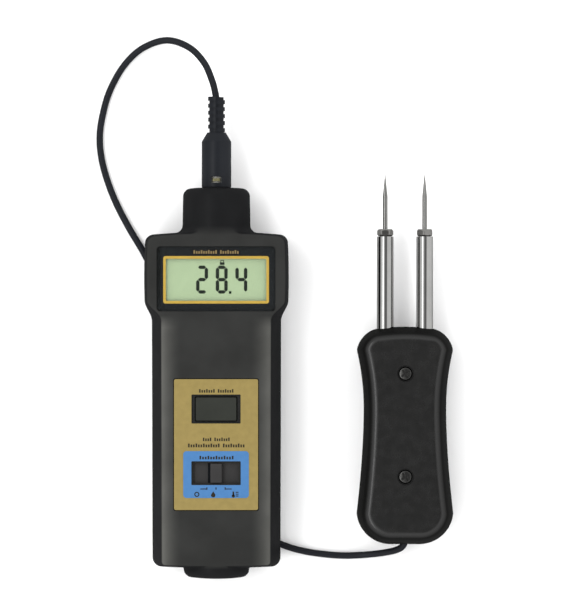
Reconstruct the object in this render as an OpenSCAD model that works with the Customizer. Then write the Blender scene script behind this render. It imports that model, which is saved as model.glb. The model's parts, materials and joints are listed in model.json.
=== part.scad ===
// Pin-type moisture meter with a plug-in two-needle probe, both lying on their backs.
// +Z is up, +Y runs towards the plug and the needle tips. The origin is on the resting
// surface, under the middle of the meter and the probe taken together.

/* [Meter case] */
// Width of the display head
head_w = 62; // [61:0.5:63]
// Width of the grip below the head
grip_w = 55.6; // [54:0.2:56]
// Length of the case without the neck and the end boss
case_l = 144.6; // [143.6:0.2:145.6]
// Height of the front face above the resting surface
face_z = 29.5; // [29:0.1:31]
// Height of the back wall above the resting surface
back_z = 4; // [3.6:0.1:4.4]
// Diameter of the round neck and of the end boss
neck_d = 28.6; // [27.6:0.2:29]
// Length of the neck above the case
neck_l = 18.8; // [18:0.1:20]
// How far the end boss stands out of the bottom
boss_l = 4.6; // [3:0.1:6]
// Wall thickness of the mouldings
wall = 2; // [1.8:0.1:2.2]

/* [Display] */
// Size of the black display panel
panel = [50.8, 27.8]; // [27:0.1:51]
// Outer size of the gold line round the opening
trim = [45.2, 20.3]; // [20:0.1:46]
// Visible opening over the liquid crystal
opening = [43, 18]; // [17:0.1:43.4]
// Height of a digit
digit_h = 12; // [8:0.5:13]
// Distance from digit to digit
digit_pitch = 8.4; // [7:0.1:9]

/* [Controls] */
// Size of the gold control plate
plate = [36.1, 56.1]; // [35:0.1:57]
// Size of the hold button's face
hold_face = [17.3, 9.8]; // [9:0.1:18]
// How far the hold button travels
hold_travel = 0.8; // [0.5:0.1:1]
// Size of the slot that the function slider shows in
slot = [19.4, 8.8]; // [8:0.1:20]
// Slider travel from the middle position to either side
slider_travel = 3.9; // [2:0.1:3.9]

/* [Batteries] */
// Diameter of an AAA cell
cell_d = 10.4; // [10:0.1:10.5]
// Length of an AAA cell
cell_l = 44.5; // [44:0.1:44.6]
// Number of cells side by side
cells = 4; // [2:1:4]

/* [Plug] */
// Diameter of the plug's hood
hood_d = 12.7; // [12:0.1:13]
// Length of the hood's straight part
hood_l = 20.2; // [16:0.1:22]
// Outer diameter of the plug's metal shell
shell_d = 9; // [8.8:0.1:9.2]
// Length of the shell that goes into the socket
shell_in = 7.6; // [6:0.1:8]

/* [Probe] */
// Greatest width of the probe handle
probe_w = 41.1; // [40:0.1:41.6]
// Length of the probe handle
probe_l = 93.6; // [93:0.1:94.4]
// Thickness of the probe handle
probe_t = 24; // [23:0.5:26]
// Distance between the two needles
needle_pitch = 17; // [16.4:0.1:17.4]
// Diameter of an electrode tube
tube_d = 7.2; // [6.8:0.1:7.2]
// Length of tube that stands out of the handle
tube_out = 38.8; // [30:0.1:42]
// Diameter of a needle
needle_d = 2.1; // [1.6:0.1:2.2]
// Length of the needle's straight part beyond the cap
needle_straight = 14.1; // [10:0.5:16]
// Length of the needle's point
needle_point = 9.3; // [6:0.1:12]
// Distance from the meter's axis to the probe's axis
axis_gap = 81.1; // [76:0.1:90]

/* [Cord] */
// Diameter of the probe cord
cord_d = 2.9; // [2.6:0.1:2.9]

/* [Hidden] */
$fn = 48;

// Places of the two assemblies on the resting surface.
probe_raise = 10.1;
cap_h = 3.1;
cap_gap = 0.1;
tip_y = probe_l + tube_out + cap_gap + cap_h + needle_straight + needle_point;
meter_x = -(axis_gap + (probe_w - head_w) / 2) / 2;
meter_y = -(probe_raise + tip_y - boss_l) / 2;
probe_x = meter_x + axis_gap;
probe_y = meter_y + probe_raise;

// Meter case: the parting plane holds the neck's axis.
part_z = 14.6;
neck_r = neck_d / 2;
neck_top = case_l + neck_l;
grip_hw = grip_w / 2;
head_hw = head_w / 2;
rim_grip = grip_hw - wall;
rim_head = head_hw - wall;
shoulder = [106.4, 114.4];
front_wall = 2.6;
front_in = face_z - front_wall;
back_wall = 2.6;
back_in = back_z + back_wall;

// Display: centres and heights.
panel_y = 124.2;
window_y = 123.8;
lens_t = 1;
mask_t = 0.2;
lens_z = face_z - 0.4 - lens_t;
mask_z = lens_z - mask_t;
lcd_z = front_in - 2.4;
lcd_t = 2.2;
lcd_size = [45, 21];
digit_tops = 130.8;
digit_w = 5.1;
segment_w = 1.45;

// Controls.
plate_y = 53.4;
plate_t = 0.4;
hold_y = 68.6;
slot_y = 41.2;
blue = [28, 20];
blue_y = 40.6;
plate_hold = [21, 12.4];
plate_slot = [21.1, 10.2];
button_gap = 0.5;
under_wall = front_in - 0.3;
stem_z = 25;
slider_t = 1.2;
slider_lap = 1.2;
ridge_w = 4.8;
ridge_sink = 0.2;

// Board and switches.
board_z = 20;
board_t = 1.6;
board_top = board_z + board_t;
board_head = [44, 40];
board_grip = 34;
board_low = 30;
board_step = 96;
board_posts = [[18, 102], [14, 54]];
case_posts = [[26, 128], [20.8, 60.5]];
lever_play = 0.2;
switch_h = 3.2;
// Middle, width, length and height of each chip.
chips = [[0, 90, 14, 14, 1.4], [-9, 78, 5, 4, 1.2], [10, 79, 6, 5, 1.2],
         [-10, 62, 3, 5, 1.6], [11, 64, 3, 2, 0.9], [12, 95, 3, 2, 0.9]];

// Feet, the pad under the head, and the heel on the door.
foot = [15, 9];
foot_t = 1;
foot_y = 136;
foot_pad = [18, 12];
foot_pad_z = 0.6;
heel_foot_size = [30, 5];
heel = [38, 9];
heel_at = 5;
heel_z = 0.4;
foot_play = 0.2;
rear_cut = -9;

// Screw posts of the case.
post_r = 2.3;
tall_post_r = 2.8;
shank_hole_r = 1.4;
head_hole_r = 2.5;

// Batteries and the door.
bay_w = cells * (cell_d + 0.1) + 0.6;
bay_y = [5, 56];
cell_z = back_in + cell_d / 2 + 0.2;
tray_top = 17.4;
tray_wall = 1;
door_hw = 20.8;
door_end = 56;
tongue = [5, 5.9];
door_play = 0.15;
door_gap = 0.2;
door_lip = 1.2;
thumb_ribs = 5;

// Plug and socket, measured along Y from the neck's top face.
neck_bore_r = 12;
neck_bore_l = 30;
neck_end_t = 2.6;
socket_r = 6.8;
socket_l = 14;
collar_r = 9.6;
collar_t = 2.2;
plug_gap = 0.2;
hood_taper = 3.4;
hood_neck_r = 4;
relief_l = 15.2;
relief_r = 3.65;
relief_core_r = 3.1;
rib_pitch = 3;
rib_l = 1.7;
pin_r = 0.4;
pin_circle = 2.1;
plug_pins_n = 4;
latch = [3, 1.3, 1.4];

// Probe handle.
probe_mid = probe_t / 2;
probe_wall = 2.2;
probe_screw_y = [29.3, 73.5];
probe_head_r = 3;
head_pocket_r = 3.65;
screw_turn = -38;
hip_y = 83.6;
waist_y = 57.8;
waist_hw = 17.75;
heel_y = 16.5;
heel_hw = 20.45;
arch = 0.6;
guide_r = 4.6;
guide_l = 6;
guide_y = 83.4;
tube_in = 67;
cord_hole_r = 2.2;
tube_end = probe_l + tube_out;
cap_y = tube_end + cap_gap;
bore_r = 2.45;
bore_l = 8.1;
spigot_l = 5.2;
cap_af = 6.4;
cap_round_r = 3.5;
cap_end_r = 2.85;
cap_chamfer = 0.75;
needle_tip_r = 0.12;
stud_r = 2;

// Route of the cord from the clamp in the handle to the plug, points on its centreline.
cord_route = [
    [45.8, -63, 12], [45.8, -69, 12], [45.5, -71.8, 11.8], [44.3, -73.6, 11],
    [41.5, -75, 9.2], [37, -76.1, 6.4], [31.5, -76.9, 3.9], [26, -77.4, 2.3], [19, -77.6, 1.6],
    [11, -77, 1.5], [3, -75.8, 1.5], [-4, -74, 1.5], [-11, -71, 1.5], [-17.5, -66, 1.5],
    [-23, -59, 1.5], [-27.5, -50.5, 1.5], [-31.5, -40.5, 1.5], [-35.5, -28.5, 1.5],
    [-39.5, -15.5, 1.5], [-43.5, -2, 1.5], [-48, 11.5, 1.5], [-53.5, 25, 1.5], [-60, 39, 1.5],
    [-66.5, 52.5, 1.5], [-73, 63.5, 1.5], [-78.5, 74, 1.5], [-82.5, 84, 1.5], [-85.2, 94, 1.5],
    [-86, 104, 1.5], [-84.5, 114, 1.5], [-81.4, 124, 1.5], [-75.5, 134.3, 1.6],
    [-67.5, 141.8, 2.1], [-57, 145.2, 3.4], [-47.3, 142, 6.2], [-40.8, 135.3, 9.6],
    [-37.3, 127.5, 13], [-35.8, 121.8, 14.4], [-35.3, 117.5, 14.6], [-35.3, 111, 14.6]
];

// ---------------------------------------------------------------- shared shapes

function unit(v) = v / norm(v);

// Points of an arc from angle a to angle b in n steps, with its own radius each way.
function arc(c, rx, ry, a, b, n) =
    [for (i = [0:n]) let (t = a + (b - a) * i / n) [c[0] + rx * cos(t), c[1] + ry * sin(t)]];

// A closed outline from its right half, listed upwards.
function mirrored(half) =
    concat(half, [for (i = [len(half) - 1:-1:0]) [-half[i][0], half[i][1]]]);

function rounded_rect(w, h, r, n = 6) = concat(
    arc([w / 2 - r, -h / 2 + r], r, r, -90, 0, n), arc([w / 2 - r, h / 2 - r], r, r, 0, 90, n),
    arc([-w / 2 + r, h / 2 - r], r, r, 90, 180, n),
    arc([-w / 2 + r, -h / 2 + r], r, r, 180, 270, n));

// A solid through outlines at rising heights, with true flat ends: levels are [z, outline].
module loft(levels) {
    low = levels[0];
    high = levels[len(levels) - 1];
    intersection() {
        skin(concat([[low[0] - 1, low[1]]], levels, [[high[0] + 1, high[1]]]));
        translate([-60, -30, low[0]]) cube([120, 240, high[0] - low[0]]);
    }
}

module skin(levels) {
    n = len(levels[0][1]);
    m = len(levels);
    points = [for (l = levels) for (p = l[1]) [p[0], p[1], l[0]]];
    sides = [for (k = [0:m - 2]) for (i = [0:n - 1]) let (j = (i + 1) % n)
        each [[k * n + i, (k + 1) * n + i, (k + 1) * n + j], [k * n + i, (k + 1) * n + j, k * n + j]]];
    ends = [[for (i = [0:n - 1]) i], [for (i = [n - 1:-1:0]) (m - 1) * n + i]];
    polyhedron(points, concat(sides, ends), convexity = 8);
}

// A round tube swept along a path, closed at both ends.
module tube_along(path, r, sides = 8, up = [0, 0, 1]) {
    m = len(path);
    points = [for (i = [0:m - 1])
        let (t = unit(path[min(i + 1, m - 1)] - path[max(i - 1, 0)]),
             s = unit(cross(t, up)), u = cross(s, t))
        for (k = [0:sides - 1]) path[i] + r * (cos(360 * k / sides) * s + sin(360 * k / sides) * u)];
    skin = [for (i = [0:m - 2]) for (k = [0:sides - 1]) let (j = (k + 1) % sides)
        each [[i * sides + k, i * sides + j, (i + 1) * sides + j],
              [i * sides + k, (i + 1) * sides + j, (i + 1) * sides + k]]];
    ends = [[for (k = [sides - 1:-1:0]) k], [for (k = [0:sides - 1]) (m - 1) * sides + k]];
    polyhedron(points, concat(skin, ends), convexity = 8);
}

// A plate with rounded corners, centred in X and Y and standing on z.
module slab(size, z, t, r = 0.8) {
    translate([0, 0, z]) linear_extrude(t) polygon(rounded_rect(size[0], size[1], r));
}

// A box centred in X and Y and standing on z.
module block(size, z) {
    translate([-size[0] / 2, -size[1] / 2, z]) cube(size);
}

// A cylinder along +Y.
module rod(r, l, y = 0) {
    translate([0, y, 0]) rotate([-90, 0, 0]) cylinder(r = r, h = l);
}

// A profile of [radius, y] points turned about the Y axis.
module turned(profile) {
    rotate([-90, 0, 0]) rotate_extrude() polygon(profile);
}

module on_meter() { translate([meter_x, meter_y, 0]) children(); }
module on_probe() { translate([probe_x, probe_y, 0]) children(); }
module at_plug() { on_meter() translate([0, neck_top, part_z]) children(); }
module both_sides() { children(); mirror([1, 0, 0]) children(); }
module at_posts(list) { both_sides() for (p = list) translate([p[0], p[1], 0]) children(); }

// ---------------------------------------------------------------- meter case

function smooth(t) = t * t * (3 - 2 * t);

// Case outline at one height: half widths of grip and head, ends, and corner radius.
function case_outline(grip, head, low, high, r) = mirrored(concat(
    [[12, low]], arc([grip - 0.4 - r, low + 0.8 + r], r, r, -85, 0, 5),
    [for (i = [0:8]) [grip + (head - 0.6 - grip) * smooth(i / 8),
                      shoulder[0] + (shoulder[1] - shoulder[0]) * i / 8]],
    [[head - 0.15, 119.5], [head, 125], [head - 0.15, 130.5]],
    arc([head - 0.9 - r, high - 1.6 - r], r, r, 5, 80, 5), [[12, high]]));

module front_outer() {
    loft([[part_z, case_outline(grip_hw, head_hw, 0, case_l, 4)],
          [24.5, case_outline(grip_hw - 2.4, head_hw - 0.4, 0.6, case_l - 0.6, 4)],
          [face_z - 0.9, case_outline(grip_hw - 4, head_hw - 1, 1.2, case_l - 1.4, 3.6)],
          [face_z, case_outline(grip_hw - 4.8, head_hw - 1.9, 2.1, case_l - 2.3, 3)]]);
}

module front_inner() {
    rim = case_outline(rim_grip, rim_head, wall, case_l - wall, 3);
    loft([[part_z - 1, rim], [part_z, rim],
          [24, case_outline(rim_grip - 2.5, rim_head - 0.6, wall + 0.6, case_l - wall - 0.8, 3)],
          [front_in, case_outline(rim_grip - 4, rim_head - 1.6, wall + 1.2, case_l - wall - 2, 2)]]);
}

module rear_outer() {
    loft([[back_z, case_outline(grip_hw - 3.8, head_hw - 3.8, 2.4, case_l - 3, 3)],
          [back_z + 1.2, case_outline(grip_hw - 1.9, head_hw - 1.9, 1, case_l - 1.5, 3.6)],
          [back_z + 4.5, case_outline(grip_hw - 0.7, head_hw - 0.8, 0.3, case_l - 0.5, 4)],
          [part_z, case_outline(grip_hw, head_hw, 0, case_l, 4)]]);
}

module rear_inner() {
    rim = case_outline(rim_grip, rim_head, wall, case_l - wall, 3);
    loft([[back_in, case_outline(rim_grip - 1.8, rim_head - 2, wall + 1, case_l - wall - 1.5, 2)],
          [back_z + 5, case_outline(rim_grip - 0.7, rim_head - 0.8, wall + 0.3, case_l - wall - 0.5, 3)],
          [part_z, rim], [part_z + 1, rim]]);
}

// The round barrel that ends in the neck and in the end boss.
module neck_outer(low) {
    round_r = 2.6;
    translate([0, 0, part_z]) turned(concat([[0, low]], [[neck_r, low], [neck_r, neck_top - round_r]],
        arc([neck_r - round_r, neck_top - round_r], round_r, round_r, 0, 90, 6), [[0, neck_top]]));
}

module boss_outer() {
    round_r = 2.6;
    dome = 0.7;
    translate([0, 0, part_z]) turned(concat([[0, 3], [0, -boss_l], [neck_r * 0.35, -boss_l]],
        [[neck_r - round_r - 1.5, -boss_l + dome / 2]],
        arc([neck_r - round_r, -boss_l + round_r + dome], round_r, round_r, -90, 0, 6), [[neck_r, 3]]));
}

module neck_bores() {
    translate([0, 0, part_z]) {
        rod(neck_bore_r, neck_bore_l, neck_top - neck_end_t - neck_bore_l);
        rod(socket_r + 0.1, 6, neck_top - 5);
    }
}

module upper_half() { translate([-50, -20, part_z]) cube([100, 220, 40]); }
module lower_half(z0 = -1) { translate([-50, -20, z0]) cube([100, 220, part_z - z0]); }

module front_shell() {
    color([0.16, 0.165, 0.165]) on_meter() {
        difference() {
            union() {
                front_outer();
                intersection() { neck_outer(139); upper_half(); }
                intersection() { boss_outer(); upper_half(); }
            }
            front_inner();
            neck_bores();
            translate([0, panel_y, 0]) slab(panel, mask_z, 4, 1.6);
            translate([0, window_y, 0]) slab([opening[0] + 0.8, opening[1] + 0.8], front_in - 1, 6, 0.6);
            translate([0, plate_y, 0]) slab(plate, face_z - plate_t - 0.1, 2, 0.9);
            translate([0, hold_y, 0])
                slab([hold_face[0] + 2 * button_gap, hold_face[1] + 2 * button_gap], front_in - 1, 6, 0.6);
            translate([0, slot_y, 0]) slab(slot, front_in - 1, 6, 0.5);
        }
        at_posts(board_posts) difference() {
            translate([0, 0, board_top]) cylinder(r = post_r, h = front_in - board_top);
            translate([0, 0, board_top - 1]) cylinder(r = 1, h = 4.5);
        }
        at_posts(case_posts) difference() {
            translate([0, 0, part_z]) cylinder(r = post_r, h = (front_in - part_z) * 0.8);
            translate([0, 0, part_z - 1]) cylinder(r = 1.1, h = 9);
        }
    }
}

module rear_shell() {
    color([0.1, 0.105, 0.115]) on_meter() difference() {
        union() {
            difference() {
                union() {
                    rear_outer();
                    intersection() { neck_outer(129); lower_half(); }
                    intersection() { boss_outer(); lower_half(6.3); }
                    translate([0, foot_y, 0]) slab(foot_pad, foot_pad_z, back_in - foot_pad_z, 2);
                }
                rear_inner();
                neck_bores();
            }
            at_posts(case_posts) translate([0, 0, back_z + 2])
                cylinder(r = tall_post_r, h = part_z - back_z - 2);
        }
        translate([0, foot_y, 0]) slab([foot[0] + foot_play, foot[1] + foot_play], -1, 1 + foot_t, 1.6);
        translate([-door_hw - door_gap, rear_cut, 0])
            cube([2 * (door_hw + door_gap), door_end + door_gap - rear_cut, back_in + 0.1]);
        translate([-door_hw - door_lip - door_gap, rear_cut, tongue[0] - door_play])
            cube([2 * (door_hw + door_lip + door_gap), door_end + door_gap - rear_cut,
                  tongue[1] - tongue[0] + 2 * door_play]);
        at_posts(case_posts) {
            translate([0, 0, -1]) cylinder(r = shank_hole_r, h = 20);
            translate([0, 0, -1]) cylinder(r = head_hole_r, h = back_z + 4);
        }
    }
}

module head_foot() {
    color([0.07, 0.07, 0.07]) on_meter() translate([0, foot_y, 0]) slab(foot, 0, foot_t, 1.5);
}

// A cross-head screw pointing up, its domed head standing on z = 0.
module screw(head_r, head_h, shank_r, l, turn = 0) {
    arm = 0.68 * head_r;
    cross_w = 0.3 * head_r;
    depth = 0.55 * head_h;
    difference() {
        rotate_extrude() polygon([[0, 0], [0.5 * head_r, 0.02 * head_h], [0.85 * head_r, 0.09 * head_h],
                                  [head_r, 0.22 * head_h], [head_r, head_h], [0, head_h]]);
        for (a = [0, 90]) rotate(turn + a)
            translate([-arm, -cross_w / 2, -1]) cube([2 * arm, cross_w, depth + 1]);
    }
    translate([0, 0, head_h]) cylinder(r = shank_r, h = l);
}

module case_screws() {
    color([0.6, 0.6, 0.62]) on_meter() at_posts(case_posts) translate([0, 0, back_z + 1.1])
        screw(2.3, 1.9, 1.05, 15);
}

// ---------------------------------------------------------------- display

module display_window() {
    color([0.85, 0.9, 0.9, 0.3]) on_meter() translate([0, panel_y, 0])
        slab([panel[0] - 0.3, panel[1] - 0.3], lens_z, lens_t, 1.5);
}

module display_mask() {
    color([0.05, 0.05, 0.06]) on_meter() difference() {
        translate([0, panel_y, 0]) slab([panel[0] - 0.3, panel[1] - 0.3], mask_z, mask_t, 1.5);
        translate([0, window_y, 0]) slab(trim, mask_z - 1, 3, 1);
    }
}

module display_trim() {
    color([0.75, 0.58, 0.15]) on_meter() translate([0, window_y, 0]) difference() {
        slab(trim, mask_z, mask_t, 1);
        slab(opening, mask_z - 1, 3, 0.5);
    }
}

module lcd_panel() {
    color([0.72, 0.8, 0.62]) on_meter() translate([0, window_y, 0])
        block([lcd_size[0], lcd_size[1], lcd_t], lcd_z);
}

// One segment of a digit, with pointed ends, lying along X or Y.
module segment(l, w, upright) {
    rotate(upright ? 90 : 0)
        polygon([[-l / 2, 0], [-l / 2 + w / 2, -w / 2], [l / 2 - w / 2, -w / 2],
                 [l / 2, 0], [l / 2 - w / 2, w / 2], [-l / 2 + w / 2, w / 2]]);
}

// A seven-segment digit; on lists the lit ones: top, middle, bottom, then the four sides.
module digit(on) {
    w = segment_w;
    dx = (digit_w - w) / 2;
    dy = (digit_h - w) / 2;
    gap = 0.2;
    places = [[0, dy, 0], [0, 0, 0], [0, -dy, 0],
              [-dx, dy / 2, 1], [dx, dy / 2, 1], [-dx, -dy / 2, 1], [dx, -dy / 2, 1]];
    for (s = on) translate([places[s][0], places[s][1]])
        segment((places[s][2] == 1 ? dy : 2 * dx) - gap, w, places[s][2] == 1);
}

module lcd_digits() {
    color([0.1, 0.12, 0.1]) on_meter() translate([0, 0, lcd_z + lcd_t]) linear_extrude(0.06) {
        middle = digit_tops - digit_h / 2 - 0.9;
        translate([-digit_pitch + 2.4, middle]) digit([0, 1, 2, 4, 5]);
        translate([2.4, middle]) digit([0, 1, 2, 3, 4, 5, 6]);
        translate([digit_pitch + 2.4, middle]) digit([1, 3, 4, 6]);
        translate([6, middle - digit_h / 2 + 0.5]) square(1.1, center = true);
    }
}

module lcd_holder() {
    color([0.85, 0.85, 0.82]) on_meter() translate([0, window_y, 0]) difference() {
        block([lcd_size[0] + 2, lcd_size[1] + 2.2, front_in - board_top], board_top);
        block([lcd_size[0] + 0.2, lcd_size[1] + 0.2, 10], board_top - 1);
    }
}

module lcd_connectors() {
    color([0.9, 0.55, 0.6]) on_meter() for (s = [-1, 1]) translate([0, window_y + s * 9, 0])
        block([41, 2, lcd_z - board_top], board_top);
}

// ---------------------------------------------------------------- controls

module control_plate() {
    color([0.62, 0.53, 0.3]) on_meter() difference() {
        translate([0, plate_y, 0])
            slab([plate[0] - 0.2, plate[1] - 0.2], face_z - plate_t - 0.1, plate_t, 0.8);
        translate([0, hold_y, 0]) slab(plate_hold, face_z - 2, 4, 0.4);
        translate([0, slot_y, 0]) slab(plate_slot, face_z - 2, 4, 0.4);
    }
}

module function_label() {
    color([0.3, 0.55, 0.8]) on_meter() difference() {
        translate([0, blue_y, 0]) slab(blue, face_z - 0.1, 0.1, 1.4);
        translate([0, slot_y, 0]) slab(plate_slot, face_z - 2, 4, 0.4);
    }
}

module hold_button() {
    color([0.2, 0.205, 0.2]) on_meter() translate([0, hold_y, 0]) {
        slab(hold_face, under_wall - 0.5, face_z - 0.3 - under_wall + 0.5, 0.5);
        slab([hold_face[0] + 3, hold_face[1] + 3], under_wall - 1, 1, 0.6);
        translate([0, 0, stem_z]) cylinder(r = 2, h = under_wall - 0.5 - stem_z);
    }
}

module hold_plunger() {
    low = board_top + hold_travel + 0.1;
    color([0.8, 0.8, 0.75]) on_meter() translate([0, hold_y, low]) cylinder(r = 1.7, h = stem_z - low);
}

module hold_switch() {
    color([0.15, 0.15, 0.16]) on_meter() translate([0, hold_y, 0]) difference() {
        block([6, 6, 2.4], board_top);
        translate([0, 0, board_top + 0.05]) cylinder(r = 1.75, h = 5);
    }
}

module function_slider() {
    color([0.2, 0.2, 0.21]) on_meter() translate([0, slot_y, 0]) {
        slab([slot[0] + 2 * (slider_travel + slider_lap), slot[1] + 2 * slider_lap + 0.8],
             under_wall - slider_t, slider_t, 0.6);
        slab([ridge_w, slot[1] - 0.7], under_wall - 0.2, face_z - ridge_sink - under_wall + 0.2, 0.3);
    }
}

module function_lever() {
    color([0.85, 0.85, 0.8]) on_meter() translate([0, slot_y, 0])
        block([3, 3, under_wall - slider_t - board_top - 0.8], board_top + 0.8);
}

module function_switch() {
    color([0.7, 0.7, 0.72]) on_meter() translate([0, slot_y, 0]) difference() {
        block([15, 6.5, switch_h], board_top);
        block([3 + 2 * (slider_travel + lever_play), 3.4, 4], board_top + 0.6);
    }
}

// ---------------------------------------------------------------- board

module main_board() {
    color([0.1, 0.4, 0.22]) on_meter() difference() {
        union() {
            translate([-board_head[0] / 2, board_step, board_z]) cube([board_head[0], board_head[1], board_t]);
            translate([-board_grip / 2, board_low, board_z])
                cube([board_grip, board_step + 2 - board_low, board_t]);
        }
        at_posts(board_posts) translate([0, 0, board_z - 1]) cylinder(r = 1.3, h = 4);
    }
}

module board_chips() {
    color([0.08, 0.08, 0.09]) on_meter() for (c = chips) translate([c[0], c[1], 0])
        block([c[2], c[3], c[4]], board_top);
}

module board_screws() {
    color([0.75, 0.75, 0.76]) on_meter() at_posts(board_posts) translate([0, 0, board_z - 1.3])
        screw(2.2, 1.3, 0.95, 4.6);
}

// ---------------------------------------------------------------- batteries

module each_cell() {
    for (i = [0:cells - 1]) translate([(i - (cells - 1) / 2) * (cell_d + 0.1), 0, 0])
        if (i % 2 == 0) children();
        else translate([0, bay_y[0] + bay_y[1], 0]) mirror([0, 1, 0]) children();
}

module battery_tray() {
    color([0.13, 0.13, 0.14]) on_meter() difference() {
        translate([-bay_w / 2 - tray_wall, bay_y[0] - tray_wall, back_in + 0.02])
            cube([bay_w + 2 * tray_wall, bay_y[1] - bay_y[0] + 2 * tray_wall,
                  tray_top + 1.2 - back_in - 0.02]);
        translate([-bay_w / 2, bay_y[0], -1]) cube([bay_w, bay_y[1] - bay_y[0], tray_top + 1]);
    }
}

module battery_cells() {
    color([0.75, 0.6, 0.2]) on_meter() each_cell() translate([0, 0, cell_z]) {
        rod(cell_d / 2, cell_l - 1, bay_y[0] + 4.8);
        rod(1.9, 1, bay_y[0] + 4.8 + cell_l - 1);
    }
}

// A conical spring at the flat end of each cell.
module battery_springs() {
    turns = 3;
    steps = 12;
    color([0.8, 0.8, 0.82]) on_meter() each_cell() translate([0, bay_y[0] + 0.6, cell_z])
        tube_along([for (i = [0:turns * steps]) let (t = i / (turns * steps), r = 3.4 - 1.8 * t)
            [r * cos(360 * i / steps), 0.3 + 3.5 * t, r * sin(360 * i / steps)]], 0.25, 5, [0, 1, 0.001]);
}

module battery_contacts() {
    color([0.8, 0.8, 0.82]) on_meter() each_cell() {
        translate([-4, bay_y[0] + 0.1, cell_z - 4.5]) cube([8, 0.4, 9]);
        translate([-4, bay_y[1] - 0.5, cell_z - 4.5]) cube([8, 0.4, 9]);
    }
}

module battery_wires() {
    color([0.7, 0.1, 0.1]) on_meter() for (s = [-1, 1])
        tube_along([[s * 15, 57.4, 14], [s * 15, 60, 14.4], [s * 14.4, 64, 16], [s * 13.4, 67.5, 18.2],
                    [s * 12.8, 70, 19.2]], 0.6, 6);
}

module battery_door() {
    color([0.1, 0.105, 0.115]) on_meter() {
        translate([-door_hw, 1.4, back_z]) cube([2 * door_hw, door_end - 1.4, tongue[1] - back_z]);
        translate([-door_hw - door_lip, 3, tongue[0]])
            cube([2 * (door_hw + door_lip), door_end - 3, tongue[1] - tongue[0]]);
        difference() {
            translate([0, heel_at, 0]) slab(heel, heel_z, back_z - heel_z + 0.5, 2.5);
            translate([0, heel_at, 0])
                slab([heel_foot_size[0] + foot_play, heel_foot_size[1] + foot_play], -1, 1 + foot_t, 1.2);
        }
        for (i = [0:thumb_ribs - 1]) translate([-9, 14 + 2.4 * i, back_z - 0.4]) cube([18, 1.1, 0.6]);
    }
}

module heel_foot() {
    color([0.07, 0.07, 0.07]) on_meter() translate([0, heel_at, 0]) slab(heel_foot_size, 0, foot_t, 1.1);
}

// ---------------------------------------------------------------- socket and plug

module on_pin_circle() {
    for (i = [0:plug_pins_n - 1]) rotate([0, 45 + 360 * i / plug_pins_n, 0])
        translate([pin_circle, 0, 0]) children();
}

module probe_socket() {
    color([0.12, 0.12, 0.13]) at_plug() difference() {
        union() {
            rod(socket_r, socket_l, -socket_l);
            rod(collar_r, collar_t, -neck_end_t - 0.1 - collar_t);
        }
        difference() {
            rod(shell_d / 2 + 0.1, 9, -8.2);
            rod(shell_d / 2 - 0.5, 10, -8.6);
        }
        on_pin_circle() rod(pin_r + 0.08, 9, -7.4);
    }
}

module socket_wires() {
    color([0.85, 0.85, 0.85]) at_plug() for (s = [-1, 1])
        tube_along([[s * 2, -14.2, 0], [s * 2, -17, 0.4], [s * 2.6, -20.5, 2], [s * 3.4, -23.5, 4],
                    [s * 3.8, -25.5, 4.8]], 0.55, 6);
}

module plug_hood() {
    color([0.12, 0.125, 0.135]) at_plug() translate([0, plug_gap, 0]) difference() {
        turned([[0, 0], [hood_d / 2, 0], [hood_d / 2, hood_l - 0.6], [hood_d / 2 - 0.35, hood_l],
                [hood_neck_r, hood_l + hood_taper], [0, hood_l + hood_taper]]);
        rod(shell_d / 2 + 0.4, 15, -1);
        rod(1.6, 20, 10);
        translate([-2.1, 1.9, 2]) cube([4.2, 2.6, 8]);
    }
}

// A flexible sleeve whose half rings stand in two staggered rows.
module plug_strain_relief() {
    start = plug_gap + hood_l + hood_taper;
    rings = floor(relief_l / rib_pitch);
    color([0.12, 0.125, 0.135]) at_plug() difference() {
        union() {
            rod(relief_core_r, relief_l, start);
            for (i = [0:rings - 1]) {
                half_ring(start + 0.2 + rib_pitch * i);
                mirror([1, 0, 0]) half_ring(start + 0.2 + rib_pitch * i + min(rib_pitch / 2, relief_l / 8));
            }
        }
        rod(cord_d / 2 + 0.15, relief_l + 2, start - 1);
    }
}

module half_ring(y) {
    intersection() {
        rod(relief_r, rib_l, y);
        translate([0, y - 1, -relief_r]) cube([relief_r, rib_l + 2, 2 * relief_r]);
    }
}

module plug_shell() {
    color([0.8, 0.8, 0.8]) at_plug() difference() {
        rod(shell_d / 2, shell_in + 1.2, -shell_in + plug_gap);
        rod(shell_d / 2 - 0.4, 40, -20);
    }
}

module plug_insulator() {
    color([0.12, 0.12, 0.12]) at_plug() rod(shell_d / 2 - 0.45, 9, plug_gap + 1);
}

module plug_pins() {
    color([0.8, 0.65, 0.3]) at_plug() on_pin_circle() rod(pin_r, 6.8, -5.8 + plug_gap);
}

module plug_latch() {
    color([0.8, 0.7, 0.35]) at_plug() translate([-latch[0] / 2, plug_gap + 2.5, shell_d / 2 - 0.46])
        cube([latch[0], latch[1], latch[2]]);
}

module probe_cord() {
    color([0.12, 0.13, 0.15]) tube_along(cord_route, cord_d / 2, 8);
}

// ---------------------------------------------------------------- probe handle

function handle_hw(y) = y < waist_y
    ? waist_hw + (heel_hw - waist_hw) * pow((waist_y - y) / (waist_y - heel_y), 1.75)
    : waist_hw + (probe_w / 2 - waist_hw) * pow((y - waist_y) / (hip_y - waist_y), 2.1);

// Handle outline moved inwards by d.
function handle_outline(d) = mirrored(concat(
    arc([heel_hw - 14.5, heel_y], 14.5 - d, heel_y - d, -90, 0, 9),
    [for (i = [1:11]) let (y = heel_y + (hip_y - heel_y) * i / 12) [handle_hw(y) - d, y]],
    arc([10, hip_y], probe_w / 2 - 10 - d, probe_l - arch - hip_y - d, 0, 90, 8), [[4, probe_l - d]]));

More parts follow.
